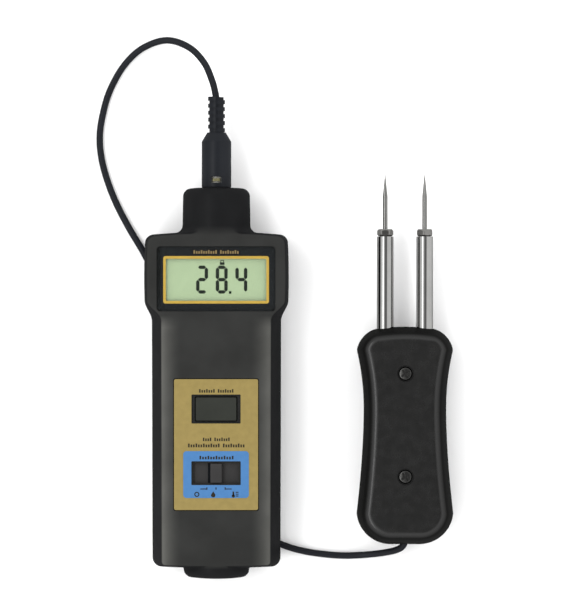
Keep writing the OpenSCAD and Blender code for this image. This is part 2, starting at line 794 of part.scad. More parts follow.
// Half of the handle, from the middle plane to its flat face.
module handle_outer() {
    loft([[0, handle_outline(0)], [probe_mid * 0.62, handle_outline(2.5)],
          [probe_mid - 0.9, handle_outline(4.1)], [probe_mid, handle_outline(5.2)]]);
}

module handle_inner() {
    w = probe_wall;
    loft([[-1, handle_outline(w)], [0, handle_outline(w)], [probe_mid * 0.55, handle_outline(w + 2.3)],
          [probe_mid - w, handle_outline(w + 4)]]);
}

module handle_holes() {
    for (s = [-1, 1]) translate([s * needle_pitch / 2, 0, 0]) rod(tube_d / 2 + 0.1, 30, probe_l - 20);
    rod(cord_hole_r, 14, -4);
}

// Ribs that clamp the tube guides, the block and the cord clamp: [y, half width, clear height].
module handle_ribs() {
    for (r = [[85.5, 12, 4.65], [tube_in - 4, 13, 4.55], [8.5, 5, 3.25]])
        translate([-r[1], r[0], r[2]]) cube([2 * r[1], 2, probe_mid - 1 - r[2]]);
}

module probe_front_shell() {
    color([0.13, 0.13, 0.13]) on_probe() translate([0, 0, probe_mid]) difference() {
        union() {
            difference() { handle_outer(); handle_inner(); }
            for (y = probe_screw_y) translate([0, y, 0]) cylinder(r = 4.4, h = probe_mid - 1);
            handle_ribs();
        }
        handle_holes();
        for (y = probe_screw_y) translate([0, y, 0]) {
            translate([0, 0, -1]) cylinder(r = 1.7, h = 20);
            translate([0, 0, probe_mid - 3.6]) cylinder(r = head_pocket_r, h = 5);
        }
    }
}

module probe_rear_shell() {
    color([0.11, 0.11, 0.115]) on_probe() translate([0, 0, probe_mid]) mirror([0, 0, 1]) difference() {
        union() {
            difference() { handle_outer(); handle_inner(); }
            for (y = probe_screw_y) translate([0, y, 0]) cylinder(r = 3.6, h = probe_mid - 1);
            handle_ribs();
        }
        handle_holes();
        for (y = probe_screw_y) translate([0, y, -1]) cylinder(r = 1.55, h = probe_mid - 1.5);
    }
}

module probe_screws() {
    color([0.35, 0.35, 0.36]) on_probe() for (y = probe_screw_y)
        translate([0, y, 2 * probe_mid - 1.2]) rotate([180, 0, 0])
            screw(probe_head_r, 2.4, 1.5, 17, screw_turn);
}

module at_tubes() { for (s = [-1, 1]) translate([s * needle_pitch / 2, 0, probe_mid]) children(); }

module electrode_guides() {
    color([0.85, 0.84, 0.8]) on_probe() at_tubes() difference() {
        rod(guide_r, guide_l, guide_y);
        rod(tube_d / 2 + 0.05, 20, 80);
    }
}

module electrode_block() {
    color([0.88, 0.87, 0.82]) on_probe() difference() {
        translate([-13.5, tube_in - 6, probe_mid - 4.5]) cube([27, 6, 9]);
        at_tubes() rod(stud_r + 0.1, 20, tube_in - 10);
    }
}

module electrode_tubes() {
    color([0.78, 0.78, 0.78]) on_probe() at_tubes() difference() {
        union() {
            rod(tube_d / 2, tube_end - tube_in, tube_in);
            rod(stud_r, 14, tube_in - 13);
        }
        rod(bore_r, bore_l + 1, tube_end - bore_l);
    }
}

module electrode_nuts() {
    color([0.8, 0.68, 0.35]) on_probe() at_tubes() difference() {
        rotate([-90, 0, 0]) translate([0, 0, tube_in - 9.9]) cylinder(d = 7 / cos(30), h = 3.2, $fn = 6);
        rod(stud_r + 0.05, 20, tube_in - 15);
    }
}

module solder_tags() {
    color([0.75, 0.72, 0.6]) on_probe() at_tubes() difference() {
        union() {
            rod(3.3, 0.6, tube_in - 6.65);
            translate([-1, tube_in - 6.65, -6.5]) cube([2, 0.6, 6]);
        }
        rod(stud_r + 0.08, 20, tube_in - 15);
    }
}

module probe_wires() {
    color([0.8, 0.8, 0.8]) on_probe() translate([0, 0, probe_mid]) for (s = [-1, 1])
        tube_along([[s * 0.8, 13.2, 0], [s * 0.9, 16, 0], [s * 2.8, 19.5, -1], [s * 5.9, 24, -2.4],
                    [s * 7.8, 32, -3.4], [s * 8.3, 42, -4.6], [s * 8.3, 52, -5.6],
                    [s * 8.3, 58.8, -5.9]], 0.6, 6);
}

module cord_clamp() {
    color([0.2, 0.2, 0.2]) on_probe() difference() {
        translate([-5, 7, probe_mid - 3.2]) cube([10, 5, 6.4]);
        translate([0, 0, probe_mid]) rod(cord_d / 2 + 0.05, 20, 0);
    }
}

// ---------------------------------------------------------------- needles and caps

module needle(side) {
    seat_y = cap_y - spigot_l;
    color([0.8, 0.8, 0.8]) on_probe() translate([side * needle_pitch / 2, 0, probe_mid]) {
        rod(2.2, 1.4, seat_y - 1.45);
        rod(needle_d / 2 + 0.2, spigot_l + cap_h + 0.1, seat_y - 0.1);
        rod(needle_d / 2, needle_straight, cap_y + cap_h);
        translate([0, cap_y + cap_h + needle_straight, 0]) rotate([-90, 0, 0])
            cylinder(r1 = needle_d / 2, r2 = needle_tip_r, h = needle_point);
    }
}

module cap(side, turn) {
    color([0.72, 0.72, 0.72]) on_probe() translate([side * needle_pitch / 2, cap_y, probe_mid]) difference() {
        union() {
            rotate([-90, turn, 0]) intersection() {
                cylinder(d = cap_af / cos(30), h = cap_h, $fn = 6);
                rotate_extrude() polygon([[0, 0], [cap_end_r, 0], [cap_round_r, cap_chamfer],
                    [cap_round_r, cap_h - cap_chamfer], [cap_end_r, cap_h], [0, cap_h]]);
            }
            rod(bore_r - 0.05, spigot_l, -spigot_l);
        }
        rod(needle_d / 2 + 0.25, 20, -10);
    }
}

module left_needle() { needle(-1); }
module right_needle() { needle(1); }
module left_cap() { cap(-1, 0); }
module right_cap() { cap(1, 22); }

front_shell();
rear_shell();
head_foot();
display_window();
display_mask();
display_trim();
lcd_panel();
lcd_digits();
lcd_holder();
lcd_connectors();
control_plate();
function_label();
main_board();
board_chips();
board_screws();
hold_switch();
function_switch();
battery_tray();
battery_cells();
battery_springs();
battery_contacts();
battery_wires();
probe_socket();
socket_wires();
case_screws();
hold_button();
hold_plunger();
function_slider();
function_lever();
battery_door();
heel_foot();
plug_hood();
plug_strain_relief();
plug_shell();
plug_insulator();
plug_pins();
plug_latch();
probe_cord();
probe_front_shell();
probe_rear_shell();
probe_screws();
electrode_guides();
electrode_block();
electrode_tubes();
electrode_nuts();
solder_tags();
probe_wires();
cord_clamp();
left_needle();
left_cap();
right_needle();
right_cap();
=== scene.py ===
"""Looks of a pin-type moisture meter with a plug-in two-needle probe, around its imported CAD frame."""
import json
import math

import bmesh
import bpy
import numpy as np
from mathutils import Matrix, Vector

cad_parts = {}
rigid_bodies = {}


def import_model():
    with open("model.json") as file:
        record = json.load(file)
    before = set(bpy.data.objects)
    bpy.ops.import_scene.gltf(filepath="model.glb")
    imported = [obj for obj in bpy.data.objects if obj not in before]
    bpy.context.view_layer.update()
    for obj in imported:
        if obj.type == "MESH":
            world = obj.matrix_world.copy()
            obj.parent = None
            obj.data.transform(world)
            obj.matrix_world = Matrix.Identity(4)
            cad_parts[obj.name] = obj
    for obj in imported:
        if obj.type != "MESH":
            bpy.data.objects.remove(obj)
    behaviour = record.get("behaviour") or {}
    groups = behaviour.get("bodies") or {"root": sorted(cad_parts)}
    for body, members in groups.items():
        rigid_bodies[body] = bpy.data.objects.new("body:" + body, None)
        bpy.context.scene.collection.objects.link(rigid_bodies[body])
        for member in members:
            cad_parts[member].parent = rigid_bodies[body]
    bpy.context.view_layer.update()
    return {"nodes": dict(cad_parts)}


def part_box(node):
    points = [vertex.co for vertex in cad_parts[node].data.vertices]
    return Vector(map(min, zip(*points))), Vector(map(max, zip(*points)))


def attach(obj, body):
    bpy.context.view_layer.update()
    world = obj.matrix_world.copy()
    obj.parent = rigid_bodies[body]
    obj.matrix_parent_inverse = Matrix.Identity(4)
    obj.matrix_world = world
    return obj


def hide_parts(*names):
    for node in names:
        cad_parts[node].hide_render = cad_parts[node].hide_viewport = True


MM = 0.001
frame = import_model()
nodes = frame["nodes"]

# ------------------------------------------------------------------ places, from the frame

case_low, case_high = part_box("front_shell")
foot_low, foot_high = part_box("head_foot")
handle_low, handle_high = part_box("probe_front_shell")
hood_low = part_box("plug_hood")[0]
plate_low, plate_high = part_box("control_plate")
panel_low, panel_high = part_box("display_window")
trim_low, trim_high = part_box("display_trim")
hold_low, hold_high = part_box("hold_button")
blue_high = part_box("function_label")[1]
door_low, door_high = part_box("battery_door")
rear_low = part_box("rear_shell")[0]

METER_X = (case_low.x + case_high.x) / 2
PROBE_X = (handle_low.x + handle_high.x) / 2
PART_Z = case_low.z
HANDLE_MID = handle_low.z
BOSS_L = 4.6 * MM
METER_Y = case_low.y + BOSS_L
PROBE_Y = handle_low.y

# ------------------------------------------------------------------ camera and cord

VIEW_CENTRE = (-6.72 * MM, 31.0 * MM)
VIEW_HEIGHT = 261.9 * MM
LENS, SENSOR = 300.0, 36.0


def add_camera():
    """A long lens straight above the table, as in a catalogue picture."""
    data = bpy.data.cameras.new("camera")
    data.lens, data.sensor_width = LENS, SENSOR
    data.clip_end = 20.0
    camera = bpy.data.objects.new("camera", data)
    distance = VIEW_HEIGHT * LENS / SENSOR
    camera.location = (*VIEW_CENTRE, PART_Z + distance)
    bpy.context.scene.collection.objects.link(camera)
    bpy.context.scene.camera = camera


CORD_D = 2.9 * MM
CORD_ROUTE = [
    (45.8, -63, 12), (45.8, -69, 12), (45.5, -71.8, 11.8), (44.3, -73.6, 11),
    (41.5, -75, 9.2), (37, -76.1, 6.4), (31.5, -76.9, 3.9), (26, -77.4, 2.3), (19, -77.6, 1.6),
    (11, -77, 1.5), (3, -75.8, 1.5), (-4, -74, 1.5), (-11, -71, 1.5), (-17.5, -66, 1.5),
    (-23, -59, 1.5), (-27.5, -50.5, 1.5), (-31.5, -40.5, 1.5), (-35.5, -28.5, 1.5),
    (-39.5, -15.5, 1.5), (-43.5, -2, 1.5), (-48, 11.5, 1.5), (-53.5, 25, 1.5), (-60, 39, 1.5),
    (-66.5, 52.5, 1.5), (-73, 63.5, 1.5), (-78.5, 74, 1.5), (-82.5, 84, 1.5), (-85.2, 94, 1.5),
    (-86, 104, 1.5), (-84.5, 114, 1.5), (-81.4, 124, 1.5), (-75.5, 134.3, 1.6),
    (-67.5, 141.8, 2.1), (-57, 145.2, 3.4), (-47.3, 142, 6.2), (-40.8, 135.3, 9.6),
    (-37.3, 127.5, 13), (-35.8, 121.8, 14.4), (-35.3, 117.5, 14.6), (-35.3, 111, 14.6)]


def smooth_path(points, steps=8):
    """Catmull-Rom points through a route, in metres."""
    p = np.array(points, float) * MM
    p = np.vstack([2 * p[0] - p[1], p, 2 * p[-1] - p[-2]])
    out = []
    for i in range(1, len(p) - 2):
        a, b, c, d = p[i - 1], p[i], p[i + 1], p[i + 2]
        for t in np.arange(steps) / steps:
            out.append(0.5 * (2 * b + (c - a) * t + (2 * a - 5 * b + 4 * c - d) * t ** 2
                              + (3 * b - a - 3 * c + d) * t ** 3))
    out.append(p[-2])
    return np.array(out)


def curve_tube(name, path, radius, resolution=6):
    """A round tube along a path, as a curve of one open spline with flat ends."""
    data = bpy.data.curves.new(name, "CURVE")
    data.dimensions = "3D"
    data.bevel_depth, data.bevel_resolution = radius, resolution
    data.use_fill_caps = True
    spline = data.splines.new("POLY")
    spline.points.add(len(path) - 1)
    for point, place in zip(spline.points, path):
        point.co = (*place, 1)
    spline.use_smooth = True
    tube = bpy.data.objects.new(name, data)
    bpy.context.scene.collection.objects.link(tube)
    return tube


# ------------------------------------------------------------------ materials

def new_material(name):
    material = bpy.data.materials.new(name)
    material.use_nodes = True
    tree = material.node_tree
    return material, tree, tree.nodes["Principled BSDF"]


def noise(tree, scale, detail=3.0, stretch=(1, 1, 1)):
    """A noise texture over object space, which for every piece is the row frame in metres."""
    place = tree.nodes.new("ShaderNodeTexCoord")
    mapping = tree.nodes.new("ShaderNodeMapping")
    mapping.inputs["Scale"].default_value = stretch
    texture = tree.nodes.new("ShaderNodeTexNoise")
    texture.inputs["Scale"].default_value = scale
    texture.inputs["Detail"].default_value = detail
    tree.links.new(place.outputs["Object"], mapping.inputs["Vector"])
    tree.links.new(mapping.outputs["Vector"], texture.inputs["Vector"])
    return texture.outputs["Fac"]


def between(tree, factor, low, high, start=0.3, end=0.7):
    """A number that runs from low to high as factor runs from start to end."""
    ramp = tree.nodes.new("ShaderNodeMapRange")
    ramp.inputs["From Min"].default_value = start
    ramp.inputs["From Max"].default_value = end
    ramp.inputs["To Min"].default_value = low
    ramp.inputs["To Max"].default_value = high
    tree.links.new(factor, ramp.inputs["Value"])
    return ramp.outputs["Result"]


def colour_between(tree, factor, low, high, start=0.3, end=0.7):
    mix = tree.nodes.new("ShaderNodeMix")
    mix.data_type = "RGBA"
    mix.inputs["A"].default_value = (*low, 1)
    mix.inputs["B"].default_value = (*high, 1)
    tree.links.new(between(tree, factor, 0, 1, start, end), mix.inputs["Factor"])
    return mix.outputs["Result"]


def mixed(tree, factor, first, second):
    """The first colour where factor is 0 and the second where it is 1."""
    mix = tree.nodes.new("ShaderNodeMix")
    mix.data_type = "RGBA"
    for name, link in (("Factor", factor), ("A", first), ("B", second)):
        tree.links.new(link, mix.inputs[name])
    return mix.outputs["Result"]


def bump(tree, bsdf, height, depth):
    node = tree.nodes.new("ShaderNodeBump")
    node.inputs["Strength"].default_value = 1.0
    node.inputs["Distance"].default_value = depth
    tree.links.new(height, node.inputs["Height"])
    tree.links.new(node.outputs["Normal"], bsdf.inputs["Normal"])
    return node.outputs["Normal"]


def tinted(colour, factor):
    return tuple(min(1.0, channel * factor) for channel in colour)


def maths(tree, kind, first, second=0.0):
    """One sum on two shader numbers, either of which may be a plain float."""
    node = tree.nodes.new("ShaderNodeMath")
    node.operation = kind
    for socket, value in zip(node.inputs, (first, second)):
        if isinstance(value, float):
            socket.default_value = value
        else:
            tree.links.new(value, socket)
    return node.outputs["Value"]


def product(tree, *factors):
    """The product of two or more shader numbers."""
    result = factors[0]
    for factor in factors[1:]:
        result = maths(tree, "MULTIPLY", result, factor)
    return result


def facing_up(tree):
    """How far a surface faces up: 1 where it is level and 0 where it is upright."""
    geometry = tree.nodes.new("ShaderNodeNewGeometry")
    normal = tree.nodes.new("ShaderNodeSeparateXYZ")
    tree.links.new(geometry.outputs["Normal"], normal.inputs["Vector"])
    return normal.outputs["Z"]


# Range of facing_up over which a skin's weight runs from its steep value to its full one.
STEEP_TO_FLAT = (0.72, 0.93)


def skin(tree, bsdf, weight, roughness, steep=None):
    """A thin glossy skin in place of the material's own reflection, of weight steep on steep sides."""
    bsdf.inputs["Specular IOR Level"].default_value = 0.0
    bsdf.inputs["Coat Weight"].default_value = weight
    tree.links.new(roughness, bsdf.inputs["Coat Roughness"])
    if steep is not None:
        tree.links.new(between(tree, facing_up(tree), steep, weight, *STEEP_TO_FLAT),
                       bsdf.inputs["Coat Weight"])


# Where the meter's face gets painted light, lighter where it faces up, and where its long edges get a painted
# highlight. Each pair is the start and end of a soft limit.
FACE_LIGHT_FACING = (0.5, 0.72)
FACE_LIGHT_BELOW_TOP = (3.0 * MM, 1.5 * MM)
FACE_LIGHT_PAST_PANEL = (5 * MM, 9 * MM)
FACE_LIGHT_AT_HEEL = 1.5 * MM
EDGE_HIGHLIGHT_FROM, EDGE_HIGHLIGHT_TO = (15 * MM, 12 * MM), 23.5 * MM
EDGE_HIGHLIGHT_SHORT_OF_PANEL = (7 * MM, 2 * MM)


def case_painted_light(tree):
    """How much painted light the meter's face gets where it faces up, and how much painted highlight its long
    edges get, each from 0 to 1.
    """
    coordinates = tree.nodes.new("ShaderNodeTexCoord")
    place = tree.nodes.new("ShaderNodeSeparateXYZ")
    tree.links.new(coordinates.outputs["Object"], place.inputs["Vector"])
    across, along, height = (place.outputs[axis] for axis in "XYZ")
    away = maths(tree, "ABSOLUTE", maths(tree, "SUBTRACT", across, METER_X))
    face = product(tree, between(tree, facing_up(tree), 0.0, 1.0, *FACE_LIGHT_FACING),
                   between(tree, height, 0.0, 1.0, *(case_high.z - d for d in FACE_LIGHT_BELOW_TOP)),
                   between(tree, along, 1.0, 0.0, *(panel_high.y + d for d in FACE_LIGHT_PAST_PANEL)),
                   between(tree, along, 0.0, 1.0, METER_Y, METER_Y + FACE_LIGHT_AT_HEEL))
    # Painted highlight: a lighter band along the grip's long edges, in place of the lamps' reflection on the
    # rounded edge.
    edge = product(tree, *(between(tree, away, 0.0, 1.0, start, EDGE_HIGHLIGHT_TO) for start in EDGE_HIGHLIGHT_FROM),
                   between(tree, along, 1.0, 0.0, *(panel_low.y - d for d in EDGE_HIGHLIGHT_SHORT_OF_PANEL)))
    return face, edge


def moulded(name, colour, roughness=0.45, grain=1800, depth=0.02 * MM, spread=0.12, gloss=None,
            steep=None, face_light_colour=None, edge_highlight_colour=None):
    """Moulded plastic: fine spark texture, slow changes of tone, and slightly uneven sheen.

    With gloss given the sheen is a thin skin of that weight, and of weight steep on steep sides.
    With the two face colours given, the meter's face has the first as painted light where it faces up, and
    its long edges the second as a painted highlight, in patches that vary at random."""
    material, tree, bsdf = new_material(name)
    tone = noise(tree, 60, 4)
    shade_of = colour_between(tree, tone, tinted(colour, 1 - spread), tinted(colour, 1 + spread))
    if face_light_colour is not None:
        # Painted light: the face is painted lighter where it faces up, and its long edges get a painted
        # highlight, in patches that vary at random.
        face, edge = case_painted_light(tree)
        dull, bright = (colour_between(tree, edge, tinted(face_light_colour, 1 + step), tinted(edge_highlight_colour, 1 + step), 0.0, 1.0)
                        for step in (-spread, spread))
        smudges = between(tree, noise(tree, 45, 5), 0.0, 1.0, 0.38, 0.62)
        shade_of = mixed(tree, face, shade_of, mixed(tree, smudges, dull, bright))
    tree.links.new(shade_of, bsdf.inputs["Base Color"])
    sheen = noise(tree, 260, 3)
    uneven = between(tree, sheen, roughness - 0.05, roughness + 0.06)
    tree.links.new(uneven, bsdf.inputs["Roughness"])
    grained = bump(tree, bsdf, noise(tree, grain, 2), depth)
    if gloss is not None:
        skin(tree, bsdf, gloss, uneven, steep)
        tree.links.new(grained, bsdf.inputs["Coat Normal"])
    return material


def metal(name, colour, roughness=0.12, brush=(1, 1, 1), scale=900, depth=0.003 * MM, spread=0.06, edge=None):
    """Plated or turned metal, with fine tool marks and small stains in its sheen."""
    material, tree, bsdf = new_material(name)
    tone = noise(tree, 150, 4)
    tree.links.new(colour_between(tree, tone, tinted(colour, 1 - spread), tinted(colour, 1 + spread)),
                   bsdf.inputs["Base Color"])
    bsdf.inputs["Metallic"].default_value = 1.0
    if edge is not None:
        bsdf.inputs["Specular Tint"].default_value = (edge, edge, edge, 1)
    marks = noise(tree, scale, 4, brush)
    tree.links.new(between(tree, marks, roughness * 0.7, roughness * 1.4), bsdf.inputs["Roughness"])
    bump(tree, bsdf, marks, depth)
    return material


def printed(name, colour, roughness=0.4, spread=0.05, metallic=0.0, grain=2500, depth=0.004 * MM,
            gloss=None):
    """A flat printed or anodised face with a slight screen grain."""
    material, tree, bsdf = new_material(name)
    tone = noise(tree, 400, 4)
    tree.links.new(colour_between(tree, tone, tinted(colour, 1 - spread), tinted(colour, 1 + spread)),
                   bsdf.inputs["Base Color"])
    bsdf.inputs["Metallic"].default_value = metallic
    sheen = noise(tree, 90, 3)
    uneven = between(tree, sheen, roughness - 0.04, roughness + 0.05)
    tree.links.new(uneven, bsdf.inputs["Roughness"])
    bump(tree, bsdf, noise(tree, grain, 2), depth)
    if gloss is not None:
        skin(tree, bsdf, gloss, uneven)
    return material


def clear(name, alpha):
    """A clear acrylic window, with faint wipe marks in its gloss."""
    material, tree, bsdf = new_material(name)
    bsdf.inputs["Base Color"].default_value = (0.3, 0.32, 0.3, 1)
    bsdf.inputs["Alpha"].default_value = alpha
    tree.links.new(between(tree, noise(tree, 120, 3), 0.04, 0.12), bsdf.inputs["Roughness"])
    return material


def make_materials():
    m = {}
    # The front case's face is painted lighter where it faces up, with a painted highlight along its long
    # edges.
    m["case_front"] = moulded("abs_case_front", (0.0088, 0.0090, 0.0095), 0.34, gloss=0.045,
                              face_light_colour=(0.0225, 0.0228, 0.0220), edge_highlight_colour=(0.080, 0.080, 0.074))
    m["case_rear"] = moulded("abs_case_rear", (0.0075, 0.0078, 0.0088), 0.36, gloss=0.045)
    m["foot"] = moulded("rubber_foot", (0.016, 0.016, 0.016), 0.8, 1200, 0.03 * MM, gloss=0.1)
    m["window"] = clear("acrylic_window", 0.02)
    m["mask"] = printed("mask_print", (0.0055, 0.0065, 0.0078), 0.3, gloss=0.08)
    m["gold_line"] = printed("gold_line_print", (0.36, 0.23, 0.018), 0.4)
    m["gold_marks"] = printed("gold_mark_print", (0.14, 0.092, 0.025), 0.45)
    m["lcd"] = printed("lcd_face", (0.278, 0.358, 0.217), 0.4, 0.02, grain=4000, gloss=0.1)
    m["lcd_ink"] = printed("lcd_segments", (0.005, 0.009, 0.005), 0.4, gloss=0.03)
    m["gold_plate"] = printed("gold_anodised", (0.214, 0.162, 0.053), 0.42, 0.06, 0.1, gloss=0.3)
    m["blue"] = printed("blue_print", (0.047, 0.140, 0.31), 0.45, 0.04, gloss=0.3)
    m["marks"] = printed("dark_print", (0.020, 0.017, 0.012), 0.5, gloss=0.1)
    m["nylon"] = moulded("natural_nylon", (0.6, 0.59, 0.53), 0.5)
    m["silicone"] = moulded("silicone_strip", (0.7, 0.38, 0.43), 0.5)
    m["board"] = printed("board_solder_mask", (0.02, 0.15, 0.06), 0.3, 0.2)
    m["chips"] = moulded("chip_package", (0.02, 0.02, 0.02), 0.6)
    m["steel"] = metal("zinc_plated_steel", (0.45, 0.45, 0.45), 0.28)
    m["inner_black"] = moulded("inner_black_plastic", (0.014, 0.014, 0.014), 0.5, gloss=0.2)
    m["cells"] = printed("cell_wrap", (0.4, 0.27, 0.05), 0.3, 0.1, 0.5)
    m["red_wire"] = moulded("red_insulation", (0.4, 0.02, 0.02), 0.4)
    m["grey_wire"] = moulded("grey_insulation", (0.4, 0.4, 0.4), 0.4)
    m["button"] = moulded("hold_key_plastic", (0.0232, 0.0248, 0.0212), 0.4, gloss=0.12)
    m["knob"] = moulded("knob_plastic", (0.030, 0.029, 0.029), 0.36, gloss=0.2)
    m["plug"] = moulded("plug_plastic", (0.0100, 0.0112, 0.0138), 0.36, 1500, gloss=0.15)
    m["plug_metal"] = metal("nickel_shell", (0.42, 0.41, 0.39), 0.15)
    m["brass"] = metal("brass", (0.50, 0.36, 0.14), 0.25)
    m["cord"] = moulded("cord_jacket", (0.0100, 0.0108, 0.0135), 0.36, 900, 0.015 * MM, gloss=0.14)
    m["handle_front"] = moulded("abs_handle_front", (0.0062, 0.0062, 0.0060), 0.24, 1500,
                                0.022 * MM, gloss=0.65, steep=0.04)
    m["handle_rear"] = moulded("abs_handle_rear", (0.0080, 0.0080, 0.0082), 0.30, 1500,
                               0.022 * MM, gloss=0.06)
    m["dark_screw"] = metal("dark_plated_screw", (0.055, 0.055, 0.053), 0.22)
    m["chrome"] = metal("polished_chrome", (0.26, 0.26, 0.255), 0.06, (1, 0.04, 1), 1400, 0.001 * MM,
                        edge=0.35)
    m["cap"] = metal("nickel_cap", (0.15, 0.148, 0.142), 0.16, (1, 1, 1), 1500, 0.006 * MM, edge=0.3)
    m["latch"] = metal("latch_brass", (0.20, 0.185, 0.10), 0.3, (1, 1, 1), 1500, 0.004 * MM, edge=0.3)
    m["needle"] = metal("ground_steel", (0.165, 0.165, 0.16), 0.2, (1, 0.05, 1), 2200, 0.004 * MM, edge=0.3)
    return m


NODE_MATERIALS = {
    "front_shell": "case_front", "rear_shell": "case_rear", "battery_door": "case_rear",
    "head_foot": "foot", "heel_foot": "foot", "display_window": "window", "display_mask": "mask",
    "display_trim": "gold_line", "lcd_panel": "lcd", "lcd_digits": "lcd_ink", "lcd_holder": "nylon",
    "lcd_connectors": "silicone", "control_plate": "gold_plate", "function_label": "blue",
    "main_board": "board", "board_chips": "chips", "board_screws": "steel", "hold_switch": "chips",
    "function_switch": "steel", "battery_tray": "inner_black", "battery_cells": "cells",
    "battery_springs": "steel", "battery_contacts": "steel", "battery_wires": "red_wire",
    "probe_socket": "inner_black", "socket_wires": "grey_wire", "case_screws": "steel",
    "hold_button": "button", "hold_plunger": "nylon", "function_slider": "knob",
    "function_lever": "nylon", "plug_hood": "plug", "plug_strain_relief": "plug",
    "plug_shell": "plug_metal", "plug_insulator": "nylon", "plug_pins": "brass",
    "plug_latch": "latch", "probe_cord": "cord", "probe_front_shell": "handle_front",
    "probe_rear_shell": "handle_rear", "probe_screws": "dark_screw", "electrode_guides": "nylon",
    "electrode_block": "nylon", "electrode_tubes": "chrome", "electrode_nuts": "brass",
    "solder_tags": "brass", "probe_wires": "grey_wire", "cord_clamp": "inner_black",
    "left_needle": "needle", "right_needle": "needle", "left_cap": "cap", "right_cap": "cap"}

# CAD nodes whose moulded or machined edges are rounded, with the radius in mm.
SOFT_EDGES = {
    "hold_button": 0.35, "function_slider": 0.25, "battery_door": 0.35, "head_foot": 0.3,
    "heel_foot": 0.3, "plug_hood": 0.35, "probe_screws": 0.12, "case_screws": 0.12,
    "left_cap": 0.2, "right_cap": 0.2, "left_needle": 0.08, "right_needle": 0.08,
    "electrode_tubes": 0.5, "probe_socket": 0.2, "control_plate": 0.08, "plug_latch": 0.15,
    "display_window": 0.12}


def set_material(piece, material):
    piece.data.materials.clear()
    piece.data.materials.append(material)


def soften(piece, radius):
    """Rounds a CAD node's sharp edges by modifiers, which leave its own mesh alone."""
    weld = piece.modifiers.new("weld", "WELD")
    weld.merge_threshold = 1e-6
    bevel = piece.modifiers.new("round_edges", "BEVEL")
    bevel.width, bevel.segments = radius * MM, 3
    bevel.limit_method, bevel.angle_limit = "ANGLE", math.radians(35)
    bevel.harden_normals = False
    normals = piece.modifiers.new("normals", "WEIGHTED_NORMAL")
    normals.keep_sharp = True


# ------------------------------------------------------------------ smooth bodies from distance functions

def round_and(a, b, r):
    """Where both a and b are inside, with the edge between them rounded to radius r."""
    outside = np.sqrt(np.maximum(a + r, 0) ** 2 + np.maximum(b + r, 0) ** 2)
    return np.minimum(np.maximum(a, b), -r) + outside


def fillet_or(a, b, r):
    """Where a or b is inside, with a fillet of radius r in the corner between them."""
    inside = np.sqrt(np.maximum(r - a, 0) ** 2 + np.maximum(r - b, 0) ** 2)
    return np.maximum(np.minimum(a, b), r) - inside


def smooth_step(t):
    t = np.clip(t, 0, 1)
    return t * t * (3 - 2 * t)


def surface(name, distance, low, high, step):
    """A closed mesh on distance = 0, in mm, by surface nets with every vertex moved onto the surface."""
    axes = [np.arange(low[i] - step, high[i] + 2 * step, step) for i in range(3)]
    grid = np.meshgrid(*axes, indexing="ij")
    field = distance(*grid)
    inside = field < 0
    shape = [n - 1 for n in field.shape]
    corners = [(i, j, k) for i in (0, 1) for j in (0, 1) for k in (0, 1)]

    def at(array, c):
        return array[c[0]:c[0] + shape[0], c[1]:c[1] + shape[1], c[2]:c[2] + shape[2]]

    count = sum(at(inside, c).astype(np.int8) for c in corners)
    active = (count > 0) & (count < 8)
    cells = np.argwhere(active)
    index = -np.ones(active.shape, np.int64)
    index[active] = np.arange(len(cells))
    total, hits = np.zeros((len(cells), 3)), np.zeros(len(cells))
    for a in corners:
        for axis in range(3):
            if a[axis]:
                continue
            b = tuple(1 if i == axis else a[i] for i in range(3))
            fa, fb = at(field, a)[active], at(field, b)[active]
            cross = (fa < 0) != (fb < 0)
            t = np.where(cross, fa / np.where(cross, fa - fb, 1), 0)
            place = np.tile(np.array(a, float), (len(cells), 1))
            place[:, axis] += t
            total += place * cross[:, None]
            hits += cross
    points = (cells + total / hits[:, None]) * step + [axis[0] for axis in axes]
    faces = []
    for axis in range(3):
        u, v = [i for i in range(3) if i != axis]
        one = [slice(None)] * 3
        two = [slice(None)] * 3
        one[axis], two[axis] = slice(0, -1), slice(1, None)
        start, end = inside[tuple(one)], inside[tuple(two)]
        edges = np.argwhere(start != end)
        edges = edges[(edges[:, u] > 0) & (edges[:, v] > 0)]
        around = []
        for du, dv in ((1, 1), (0, 1), (0, 0), (1, 0)):
            cell = edges.copy()
            cell[:, u] -= du
            cell[:, v] -= dv
            around.append(index[cell[:, 0], cell[:, 1], cell[:, 2]])
        quad = np.stack(around, 1)
        flip = start[edges[:, 0], edges[:, 1], edges[:, 2]] == (axis == 1)
        quad[flip] = quad[flip][:, ::-1]
        faces.append(quad)
    faces = np.vstack(faces)
    h = 0.02
    for _ in range(4):
        x, y, z = points.T
        value = distance(x, y, z)
        slope = np.stack([distance(x + h, y, z) - distance(x - h, y, z),
                          distance(x, y + h, z) - distance(x, y - h, z),
                          distance(x, y, z + h) - distance(x, y, z - h)], 1) / (2 * h)
        size = np.maximum((slope ** 2).sum(1), 0.2)
        points -= np.clip((value / size)[:, None] * slope, -step, step)
    mesh = bpy.data.meshes.new(name)
    mesh.from_pydata(points * MM, [], faces.tolist())
    mesh.update()
    return mesh


def part_at(mesh, z, keep_above):
    """Cuts a closed mesh, or several nested in one, at height z and closes it with a flat rim."""
    work = bmesh.new()
    work.from_mesh(mesh)
    cut = bmesh.ops.bisect_plane(
        work, geom=work.verts[:] + work.edges[:] + work.faces[:], dist=1e-7, plane_co=(0, 0, z),
        plane_no=(0, 0, -1 if keep_above else 1), clear_outer=True)
    rim = [item for item in cut["geom_cut"] if isinstance(item, bmesh.types.BMEdge)]
    bmesh.ops.triangle_fill(work, edges=rim, use_beauty=True, use_dissolve=False,
                            normal=(0, 0, -1 if keep_above else 1))
    bmesh.ops.recalc_face_normals(work, faces=work.faces)
    work.to_mesh(mesh)
    work.free()


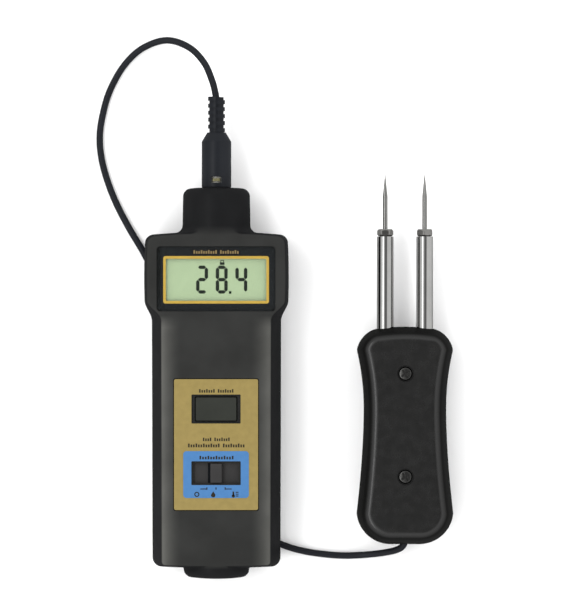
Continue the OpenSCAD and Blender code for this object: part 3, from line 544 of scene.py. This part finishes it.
def join_meshes(name, meshes, flipped=()):
    """One mesh of several, with the flipped ones turned inside out."""
    work = bmesh.new()
    for mesh in meshes:
        before = len(work.faces)
        work.from_mesh(mesh)
        work.faces.ensure_lookup_table()
        if mesh in flipped:
            bmesh.ops.reverse_faces(work, faces=work.faces[before:])
    out = bpy.data.meshes.new(name)
    work.to_mesh(out)
    work.free()
    return out


def new_object(name, mesh, place=(0, 0, 0)):
    """An object at the origin whose place is in its mesh."""
    for vertex in mesh.vertices:
        vertex.co += Vector(place)
    piece = bpy.data.objects.new(name, mesh)
    bpy.context.scene.collection.objects.link(piece)
    return piece


def rounded_outline(width, height, radius, steps=8):
    """Corner points of a rounded rectangle round the origin, anticlockwise."""
    points = []
    for sx, sy, start in ((1, 1, 0), (-1, 1, 90), (-1, -1, 180), (1, -1, 270)):
        for i in range(steps + 1):
            angle = math.radians(start + 90 * i / steps)
            points.append((sx * (width / 2 - radius) + radius * math.cos(angle),
                           sy * (height / 2 - radius) + radius * math.sin(angle)))
    return points


def prism(name, outline, low, high, axis="Z"):
    """A closed prism over an outline, in metres; axis Y takes the outline as X and Z."""
    def place(p, t):
        return (p[0], p[1], t) if axis == "Z" else (p[0], t, p[1])
    n = len(outline)
    verts = [place(p, t) for t in (low, high) for p in outline]
    sides = [(i, (i + 1) % n, n + (i + 1) % n, n + i) for i in range(n)]
    mesh = bpy.data.meshes.new(name)
    mesh.from_pydata(verts, [], sides + [tuple(range(n - 1, -1, -1)), tuple(range(n, 2 * n))])
    work = bmesh.new()
    work.from_mesh(mesh)
    bmesh.ops.recalc_face_normals(work, faces=work.faces)
    work.to_mesh(mesh)
    work.free()
    return mesh


def circle(radius, centre=(0, 0), steps=64):
    return [(centre[0] + radius * math.cos(2 * math.pi * i / steps),
             centre[1] + radius * math.sin(2 * math.pi * i / steps)) for i in range(steps)]


def moved(outline, centre):
    return [(x + centre[0], y + centre[1]) for x, y in outline]


def carve(piece, cutters):
    """Cuts prisms out of a piece and applies the result."""
    for mesh in cutters:
        tool = bpy.data.objects.new("tool", mesh)
        bpy.context.scene.collection.objects.link(tool)
        modifier = piece.modifiers.new("cut", "BOOLEAN")
        modifier.operation, modifier.solver, modifier.object = "DIFFERENCE", "EXACT", tool
    graph = bpy.context.evaluated_depsgraph_get()
    result = bpy.data.meshes.new_from_object(piece.evaluated_get(graph))
    piece.modifiers.clear()
    piece.data = result
    for o in [o for o in bpy.data.objects if o.name.startswith("tool")]:
        bpy.data.objects.remove(o)


def shade(piece, degrees=32):
    """Smooth shading that stays crisp across edges steeper than this."""
    piece.data.polygons.foreach_set("use_smooth", [True] * len(piece.data.polygons))
    piece.data.set_sharp_from_angle(angle=math.radians(degrees))


# ------------------------------------------------------------------ the meter's case

CASE_L = 144.6
FACE_Z = case_high.z / MM
BACK_Z = 4.0
CAVITY_Z = (6.6, 26.9)
SPLIT = PART_Z / MM
GRIP_HW, GRIP_FACE_HW = 27.9, 23.3
HEAD_HW, HEAD_FACE_HW = 31.1, 29.9
NECK_R, NECK_TOP, NECK_FLAT_R = 14.3, 163.4, 7.0
WALL = 2.0


def case_distance(inset=0.0):
    """Distance to the meter's outside, moved inwards by inset, in the meter's own mm."""
    def distance(x, y, z):
        side = np.abs(x)
        up = np.clip((z - SPLIT) / (FACE_Z - SPLIT), 0, 1.1)
        down = np.clip((SPLIT - z) / (SPLIT - BACK_Z), 0, 1.1)
        head = smooth_step((y - 106.2) / 8.6)
        grip = GRIP_HW - 0.4 * (1 - y / CASE_L) - (GRIP_HW - GRIP_FACE_HW) * up ** 1.15 - 1.9 * down ** 2
        bow = HEAD_HW - 0.0016 * (y - 125) ** 2 - (HEAD_HW - HEAD_FACE_HW) * up ** 1.6 - 1.9 * down ** 2
        half = grip + (bow - grip) * head
        top = CASE_L - 1.6 * (side / HEAD_HW) ** 2 - 0.7 * up ** 1.5 - 0.5 * down ** 2
        low = 0.8 * (side / GRIP_HW) ** 2 + 1.2 * up ** 1.5 + 0.7 * down ** 2
        body = round_and(side - half, y - top, 3.2)
        body = round_and(body, low - y, 3.8 - 2.4 * up)
        body = round_and(body, z - FACE_Z, 1.7)
        body = round_and(body, BACK_Z - z, 1.6)
        radial = np.sqrt(x ** 2 + (z - SPLIT) ** 2)
        end = NECK_TOP - 0.015 * np.maximum(radial - NECK_FLAT_R, 0) ** 2
        neck = round_and(radial - NECK_R - 0.018 * (NECK_TOP - y), y - end, 2.8)
        neck = np.maximum(neck, 120 - y)
        dome = -BOSS_L / MM + 0.7 * np.minimum(radial / 11, 1.2) ** 2
        boss = round_and(radial - NECK_R + 0.25, dome - y, 2.9)
        boss = np.maximum(boss, y - 12)
        body = fillet_or(body, neck, 3.0)
        body = fillet_or(body, boss, 0.6)
        body = round_and(body, z - FACE_Z, 0.3)
        return body + inset
    return distance


def case_meshes():
    """The outside and the cavity of the whole case, nested in one mesh."""
    inner = case_distance(WALL)

    def cavity_distance(x, y, z):
        return np.maximum(inner(x, y, z), np.maximum(CAVITY_Z[0] - z, z - CAVITY_Z[1]))

    low, high = (-33, -6, 2), (33, 165, 31)
    outer = surface("case_outside", case_distance(), low, high, 0.6)
    cavity = surface("case_cavity", cavity_distance, low, high, 1.5)
    return join_meshes("case_whole", [outer, cavity], flipped=[cavity])


PARTING_GAP = 0.1 * MM


def box_outline(low, high, radius, grow=0.0):
    """Rounded outline of a CAD node's box seen from above, grown by grow metres each way."""
    width, height = high.x - low.x + 2 * grow, high.y - low.y + 2 * grow
    return moved(rounded_outline(width, height, radius), ((low.x + high.x) / 2, (low.y + high.y) / 2))


def opening_outline():
    return moved(rounded_outline(43.6 * MM, 18.6 * MM, 0.6 * MM),
                 ((trim_low.x + trim_high.x) / 2, (trim_low.y + trim_high.y) / 2))


def slot_outline(width, height):
    low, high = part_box("function_slider")
    return moved(rounded_outline(width, height, 0.5 * MM), (METER_X, (low.y + high.y) / 2))


def hold_outline(width, height):
    return moved(rounded_outline(width, height, 0.6 * MM), (METER_X, (hold_low.y + hold_high.y) / 2))


def neck_cutters():
    """The neck's bore for the socket's collar and the hole in its end."""
    centre = (METER_X, PART_Z)
    end = METER_Y + NECK_TOP * MM
    return [prism("bore", circle(12.05 * MM, centre), end - 36 * MM, end - 2.6 * MM, "Y"),
            prism("mouth", circle(6.95 * MM, centre), end - 4 * MM, end + 4 * MM, "Y")]


# Width and height of the two openings in the face and of the shallow rims round them.
HOLD_RIM, HOLD_HOLE = (20.5 * MM, 11.9 * MM), (18.3 * MM, 10.8 * MM)
SLOT_RIM, SLOT_HOLE = (20.5 * MM, 9.6 * MM), (19.4 * MM, 8.8 * MM)
RIM_DEPTH, HOLE_DEPTH = 1.3 * MM, 4.5 * MM
CLEAR = 3 * MM


def add_front_case(whole, material):
    mesh = whole.copy()
    part_at(mesh, PART_Z + PARTING_GAP, True)
    piece = new_object("front_case", mesh)
    floor, above = case_high.z - HOLE_DEPTH, case_high.z + CLEAR
    rim = case_high.z - RIM_DEPTH
    carve(piece, neck_cutters() + [
        prism("panel", box_outline(panel_low, panel_high, 1.6 * MM, 0.15 * MM),
              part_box("display_mask")[0].z, above),
        prism("opening", opening_outline(), floor, above),
        prism("plate", box_outline(plate_low, plate_high, 1.1 * MM, 0.4 * MM), plate_low.z, above),
        prism("hold_rim", hold_outline(*HOLD_RIM), rim, above),
        prism("hold", hold_outline(*HOLD_HOLE), floor, above),
        prism("slot_rim", slot_outline(*SLOT_RIM), rim, above),
        prism("slot", slot_outline(*SLOT_HOLE), floor, above)])
    shade(piece)
    set_material(piece, material)
    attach(piece, "meter")
    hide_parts("front_shell")


CASE_SCREW_R = 2.3 * MM
UPPER_SCREW_X, LOWER_SCREW_X = 26 * MM, 20.8 * MM


def screw_places():
    low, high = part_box("case_screws")
    rows = ((UPPER_SCREW_X, high.y - CASE_SCREW_R), (LOWER_SCREW_X, low.y + CASE_SCREW_R))
    return [(METER_X + side * x, y) for x, y in rows for side in (-1, 1)]


# The door's opening: half its width, how far its cutters run past the grip's end, and which of their
# points belong to that end. GROOVE_Z is the range of height of the groove round the door.
DOOR_HW, DOOR_RUN, DOOR_END = 21 * MM, 9 * MM, 20 * MM
GROOVE_Z = (4.85 * MM, 6.05 * MM)
SCREW_PIT_R = 2.5 * MM


def add_rear_case(whole, material):
    mesh = whole.copy()
    part_at(mesh, PART_Z - PARTING_GAP, False)
    piece = new_object("rear_case", mesh)
    door_top = door_high.z + 0.8 * MM
    below = rear_low.z - 5 * MM
    groove = box_outline(door_low, door_high, 0.4 * MM, 0.2 * MM)
    plate = [(x if abs(x - METER_X) < DOOR_HW else METER_X + math.copysign(DOOR_HW, x - METER_X), y)
             for x, y in groove]
    plate, groove = ([(x, y - DOOR_RUN if y < METER_Y + DOOR_END else y) for x, y in outline]
                     for outline in (plate, groove))
    heads = [prism("head", circle(SCREW_PIT_R, c, 32), below, BACK_Z * MM + 4 * MM) for c in screw_places()]
    carve(piece, neck_cutters() + heads + [
        prism("door", plate, below, door_top),
        prism("groove", groove, *GROOVE_Z)])
    shade(piece)
    set_material(piece, material)
    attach(piece, "meter")
    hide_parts("rear_shell")


def add_foot_pad(material):
    """The raised pad under the head that holds the rubber foot."""
    mid = ((foot_low.x + foot_high.x) / 2, (foot_low.y + foot_high.y) / 2)
    mesh = prism("foot_pad", moved(rounded_outline(18 * MM, 12 * MM, 2 * MM), mid), rear_low.z, 5.4 * MM)
    piece = new_object("foot_pad", mesh)
    carve(piece, [prism("pocket", moved(rounded_outline(15.2 * MM, 9.2 * MM, 1.6 * MM), mid), -MM, MM)])
    bevel = piece.modifiers.new("round_edges", "BEVEL")
    bevel.width, bevel.segments = 0.3 * MM, 3
    shade(piece)
    set_material(piece, material)
    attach(piece, "meter")


# ------------------------------------------------------------------ the probe's handle

HANDLE_L = 93.6
HIP_Y, HIP_HW = 83.6, 20.75
WAIST_Y, WAIST_HW = 57.8, 17.75
HEEL_Y, HEEL_HW = 16.5, 20.45
HANDLE_HALF = (handle_high.z - handle_low.z) / MM
HANDLE_WALL = 2.2
SCREW_HEAD_R, SCREW_HOLE_R, SCREW_POCKET_R = 3.0 * MM, 3.05 * MM, 3.6 * MM
TUBE_PLAY, CORD_HOLE_R = 0.12 * MM, 2.2 * MM


def handle_distance(inset=0.0):
    """Distance to the handle's outside, moved inwards by inset, in mm from its middle plane."""
    def distance(x, y, z):
        side = np.abs(x)
        below = np.clip((WAIST_Y - y) / (WAIST_Y - HEEL_Y), 0, 1.3)
        above = np.clip((y - WAIST_Y) / (HIP_Y - WAIST_Y), 0, 1.25)
        half = WAIST_HW + (HEEL_HW - WAIST_HW) * below ** 1.75 + (HIP_HW - WAIST_HW) * above ** 2.1
        half = np.minimum(half, 20.85)
        rise = np.clip(np.abs(z) / HANDLE_HALF, 0, 1.1)
        draft = 3.4 * rise ** 2
        plan = round_and((side - half) * 0.99, -y, 14.5)
        plan = round_and(plan, y - HANDLE_L + 0.006 * side ** 2, 9.0)
        return round_and(plan + draft, np.abs(z) - HANDLE_HALF, 2.6) + inset
    return distance


def add_handle(materials):
    low, high = (-22, -1, -13), (22, 95, 13)
    outer = surface("handle_outside", handle_distance(), low, high, 0.55)
    cavity = surface("handle_cavity", handle_distance(HANDLE_WALL), low, high, 1.4)
    whole = join_meshes("handle_whole", [outer, cavity], flipped=[cavity])
    for vertex in whole.vertices:
        vertex.co += Vector((PROBE_X, PROBE_Y, HANDLE_MID))
    screw_low, screw_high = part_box("probe_screws")
    screws = [(PROBE_X, screw_low.y + SCREW_HEAD_R), (PROBE_X, screw_high.y - SCREW_HEAD_R)]
    tube_low, tube_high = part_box("electrode_tubes")
    tube_r = (tube_high.z - tube_low.z) / 2
    end = PROBE_Y + HANDLE_L * MM
    tubes = [prism("tube", circle(tube_r + TUBE_PLAY, (x, HANDLE_MID)), end - 20 * MM, end + 9 * MM, "Y")
             for x in (tube_low.x + tube_r, tube_high.x - tube_r)]
    cord = prism("cord_hole", circle(CORD_HOLE_R, (PROBE_X, HANDLE_MID)), PROBE_Y - 4 * MM,
                 PROBE_Y + 10 * MM, "Y")
    for name, above, node in (("handle_front", True, "probe_front_shell"),
                              ("handle_rear", False, "probe_rear_shell")):
        mesh = whole.copy()
        part_at(mesh, HANDLE_MID + (PARTING_GAP if above else -PARTING_GAP), above)
        piece = new_object(name, mesh)
        holes = []
        for centre in screws if above else ():
            holes += [prism("screw", circle(SCREW_HOLE_R, centre), HANDLE_MID + 8.4 * MM,
                            handle_high.z + CLEAR),
                      prism("pocket", circle(SCREW_POCKET_R, centre), screw_high.z - 0.5 * MM,
                            handle_high.z + CLEAR)]
        carve(piece, tubes + [cord] + holes)
        shade(piece)
        set_material(piece, materials[name])
        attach(piece, "probe_lead")
        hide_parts(node)


SEAL_R, SEAL_T = 6.1 * MM, 0.15 * MM


def add_plug_seal(material):
    """The soft seal that closes the joint between the plug's hood and the neck."""
    end = hood_low.y
    mesh = prism("seal", circle(SEAL_R, (METER_X, PART_Z)), end - SEAL_T, end, "Y")
    piece = new_object("plug_seal", mesh)
    shade(piece)
    set_material(piece, material)
    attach(piece, "probe_lead")


# ------------------------------------------------------------------ printed marks

# Thickness of ink, the knob's travel to either side in mm, and the half width and height of its ridge.
PRINT_T = 0.03 * MM
SLIDE = 3.9
RIDGE_HW, RIDGE_H = 2.4 * MM, 2.7 * MM
# Width of the dark strips painted as shade in the gap round the control plate.
GAP_SHADE_W = 0.6 * MM
# Size of the dark strip painted as the shadow at the left foot of the knob's ridge.
RIDGE_SHADOW_SIZE = (1.1 * MM, 8.4 * MM)


def rectangle(centre, width, height):
    x, y = centre
    return [(x - width / 2, y - height / 2), (x + width / 2, y - height / 2),
            (x + width / 2, y + height / 2), (x - width / 2, y + height / 2)]


def tick_row(centre, width, height, groups):
    """Groups of upright ticks on one base line, like parts of a scale, with every third one full height."""
    pitch = width / (sum(groups) + len(groups) - 2)
    row, i = [], 0
    for group in groups:
        for k in range(group):
            tall = height if k % 3 == 0 else height * 0.75
            x = centre[0] - width / 2 + i * pitch
            row.append(rectangle((x, centre[1] - (height - tall) / 2), pitch * 0.62, tall))
            i += 1
        i += 1
    return row


def ring(centre, radius, thick, steps=20):
    """A ring as short outlines side by side."""
    out = []
    for i in range(steps):
        a, b = 2 * math.pi * i / steps, 2 * math.pi * (i + 1) / steps
        out.append([(centre[0] + r * math.cos(t), centre[1] + r * math.sin(t))
                    for r, t in ((radius - thick, a), (radius, a), (radius, b), (radius - thick, b))])
    return out


def drop(centre, size):
    """A water drop with its point up."""
    body = [(centre[0] + size * 0.36 * math.cos(math.radians(t)),
             centre[1] - size * 0.14 + size * 0.36 * math.sin(math.radians(t))) for t in range(-200, 21, 20)]
    return [body + [(centre[0], centre[1] + size * 0.5)]]


def print_marks(name, outlines, z, material, body="meter"):
    """Thin ink on a flat face at height z."""
    prisms = [prism(name, outline, z, z + PRINT_T) for outline in outlines]
    piece = new_object(name, join_meshes(name, prisms))
    set_material(piece, material)
    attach(piece, body)


def add_marks(materials):
    """Scale ticks and symbols in place of any wording."""
    top = plate_high.y
    trim_mid = (trim_low.x + trim_high.x) / 2

    def at(x, below_top):
        return (METER_X + x * MM, top - below_top * MM)

    head_row = tick_row((trim_mid, trim_high.y + 1.75 * MM), 18.6 * MM, 1.5 * MM, (10, 8))
    print_marks("head_marks", head_row, panel_high.z, materials["gold_marks"])
    rows = (tick_row(at(0.1, 5.0), 14 * MM, 1.5 * MM, (7, 7))
            + tick_row(at(0.1, 25.7), 10.8 * MM, 1.5 * MM, (4, 7))
            + tick_row(at(0.1, 28.3), 23.4 * MM, 1.6 * MM, (13, 9)))
    wide, tall = plate_high.x - plate_low.x, plate_high.y - plate_low.y
    middle = (plate_low.y + plate_high.y) / 2
    # Painted shade: dark strips on the floor of the gap round the control plate.
    gap_shade = [rectangle((x, middle), GAP_SHADE_W, tall + GAP_SHADE_W) for x in (plate_low.x, plate_high.x)]
    gap_shade += [rectangle((METER_X, y), wide - GAP_SHADE_W, GAP_SHADE_W) for y in (plate_low.y, plate_high.y)]
    print_marks("plate_bed", gap_shade, plate_low.z, materials["mask"])
    print_marks("plate_marks", rows, plate_high.z, materials["marks"])
    label = tick_row(at(0.2, 33.5), 13.8 * MM, 1.5 * MM, (13,))
    label += [rectangle(at(x, 46.7), 0.45 * MM, 1.0 * MM) for x in (-SLIDE, 0.0, SLIDE)]
    label += [rectangle(at(x, 46.9), 2.6 * MM, 0.4 * MM) for x in (-SLIDE - 1.5, SLIDE + 1.5)]
    label += ring(at(-8.2, 49.2), 1.1 * MM, 0.45 * MM)
    label += drop(at(-1.2, 49.2), 2.6 * MM)
    label += [rectangle(at(7.4, 48.9), 0.7 * MM, 1.8 * MM), circle(0.7 * MM, at(7.4, 49.9), 20)]
    label += [rectangle(at(9.0, 48.3 + 0.8 * i), 1.2 * MM, 0.4 * MM) for i in range(3)]
    print_marks("label_marks", label, blue_high.z, materials["marks"])
    slider_low, slider_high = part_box("function_slider")
    # Painted shadow: a dark ink strip at the left foot of the knob's ridge.
    beside = METER_X - RIDGE_HW - RIDGE_SHADOW_SIZE[0] / 2
    groove = rectangle((beside, (slider_low.y + slider_high.y) / 2), *RIDGE_SHADOW_SIZE)
    print_marks("slider_groove", [groove], slider_high.z - RIDGE_H, materials["mask"],
                "function_knob")
    digits_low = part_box("lcd_digits")[0]
    lock = (trim_mid + 2.6 * MM, trim_high.y - 2.75 * MM)
    shapes = [rectangle((lock[0], lock[1] - 0.45 * MM), 2.0 * MM, 1.1 * MM)]
    shapes += [rectangle((lock[0] + dx * MM, lock[1] + 0.5 * MM), 0.3 * MM, 0.9 * MM) for dx in (-0.6, 0.6)]
    shapes += [rectangle((lock[0], lock[1] + 0.9 * MM), 1.5 * MM, 0.3 * MM)]
    print_marks("hold_symbol", shapes, digits_low.z, materials["lcd_ink"])


# ------------------------------------------------------------------ stage and light

def area_light(name, place, target, size, power):
    data = bpy.data.lights.new(name, "AREA")
    data.shape, data.size, data.size_y = "RECTANGLE", size[0], size[1]
    data.energy = power
    light = bpy.data.objects.new(name, data)
    light.location = place
    light.rotation_euler = (Vector(target) - Vector(place)).to_track_quat("-Z", "Y").to_euler()
    bpy.context.scene.collection.objects.link(light)


FLOOR_HALF = 3.0


def add_stage():
    mesh = bpy.data.meshes.new("floor")
    corners = [(x * FLOOR_HALF, y * FLOOR_HALF, 0) for x, y in ((-1, -1), (1, -1), (1, 1), (-1, 1))]
    mesh.from_pydata(corners, [], [(0, 1, 2, 3)])
    floor = bpy.data.objects.new("floor", mesh)
    bpy.context.scene.collection.objects.link(floor)
    material, _, bsdf = new_material("pale_floor")
    bsdf.inputs["Base Color"].default_value = (0.93, 0.93, 0.93, 1)
    bsdf.inputs["Roughness"].default_value = 0.8
    set_material(floor, material)


# The white tent's strength, its dark patch overhead, and its darker band low on the left.
TENT = 1.75
PATCH_X, PATCH_STRETCH, PATCH_EDGE, PATCH_SHARE = 0.12, 0.35, (0.045, 0.12), 0.22
LEFT_EDGE, LEFT_SHARE = (-0.86, -0.97), 0.4


def add_world():
    """A white tent that is darker straight overhead and low on the left, as the metal shows it."""
    world = bpy.data.worlds.new("studio")
    world.use_nodes = True
    tree = world.node_tree
    ray = tree.nodes.new("ShaderNodeTexCoord")
    split = tree.nodes.new("ShaderNodeSeparateXYZ")
    tree.links.new(ray.outputs["Generated"], split.inputs["Vector"])

    centred = maths(tree, "ADD", split.outputs["X"], -PATCH_X)
    square = product(tree, centred, centred)
    flattened = product(tree, split.outputs["Y"], split.outputs["Y"], PATCH_STRETCH)
    across = maths(tree, "ADD", square, flattened)
    upward = between(tree, split.outputs["Z"], 0.0, 1.0, 0.0, 0.3)
    patch = product(tree, between(tree, across, 1.0, 0.0, *PATCH_EDGE), upward)
    overhead = between(tree, patch, TENT, TENT * PATCH_SHARE, 0.0, 1.0)
    left = between(tree, split.outputs["X"], 1.0, LEFT_SHARE, *LEFT_EDGE)
    background = tree.nodes["Background"]
    background.inputs["Color"].default_value = (1, 1, 1, 1)
    tree.links.new(product(tree, overhead, left), background.inputs["Strength"])
    bpy.context.scene.world = world


# The one lamp: a long strip at the left, its long side along Y.
KEY_PLACE, KEY_SIZE, KEY_POWER = (-0.52, 0.0, 0.95), (1.4, 0.24), 4.5


def add_lights():
    add_world()
    area_light("key_left", KEY_PLACE, (0, 0, 0), KEY_SIZE, KEY_POWER)
    bpy.context.scene.view_settings.view_transform = "Standard"


# ------------------------------------------------------------------ the scene

add_camera()
materials = make_materials()
for node, key in NODE_MATERIALS.items():
    set_material(nodes[node], materials[key])
for node, radius in SOFT_EDGES.items():
    soften(nodes[node], radius)

cord_path = smooth_path(CORD_ROUTE)
cord = curve_tube("lead_cord", cord_path, CORD_D / 2)
set_material(cord, materials["cord"])
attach(cord, "probe_lead")
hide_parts("probe_cord")

case = case_meshes()
for vertex in case.vertices:
    vertex.co += Vector((METER_X, METER_Y, 0))
add_front_case(case, materials["case_front"])
add_rear_case(case, materials["case_rear"])
add_foot_pad(materials["case_rear"])
add_handle(materials)
add_marks(materials)
add_plug_seal(materials["foot"])
add_stage()
add_lights()
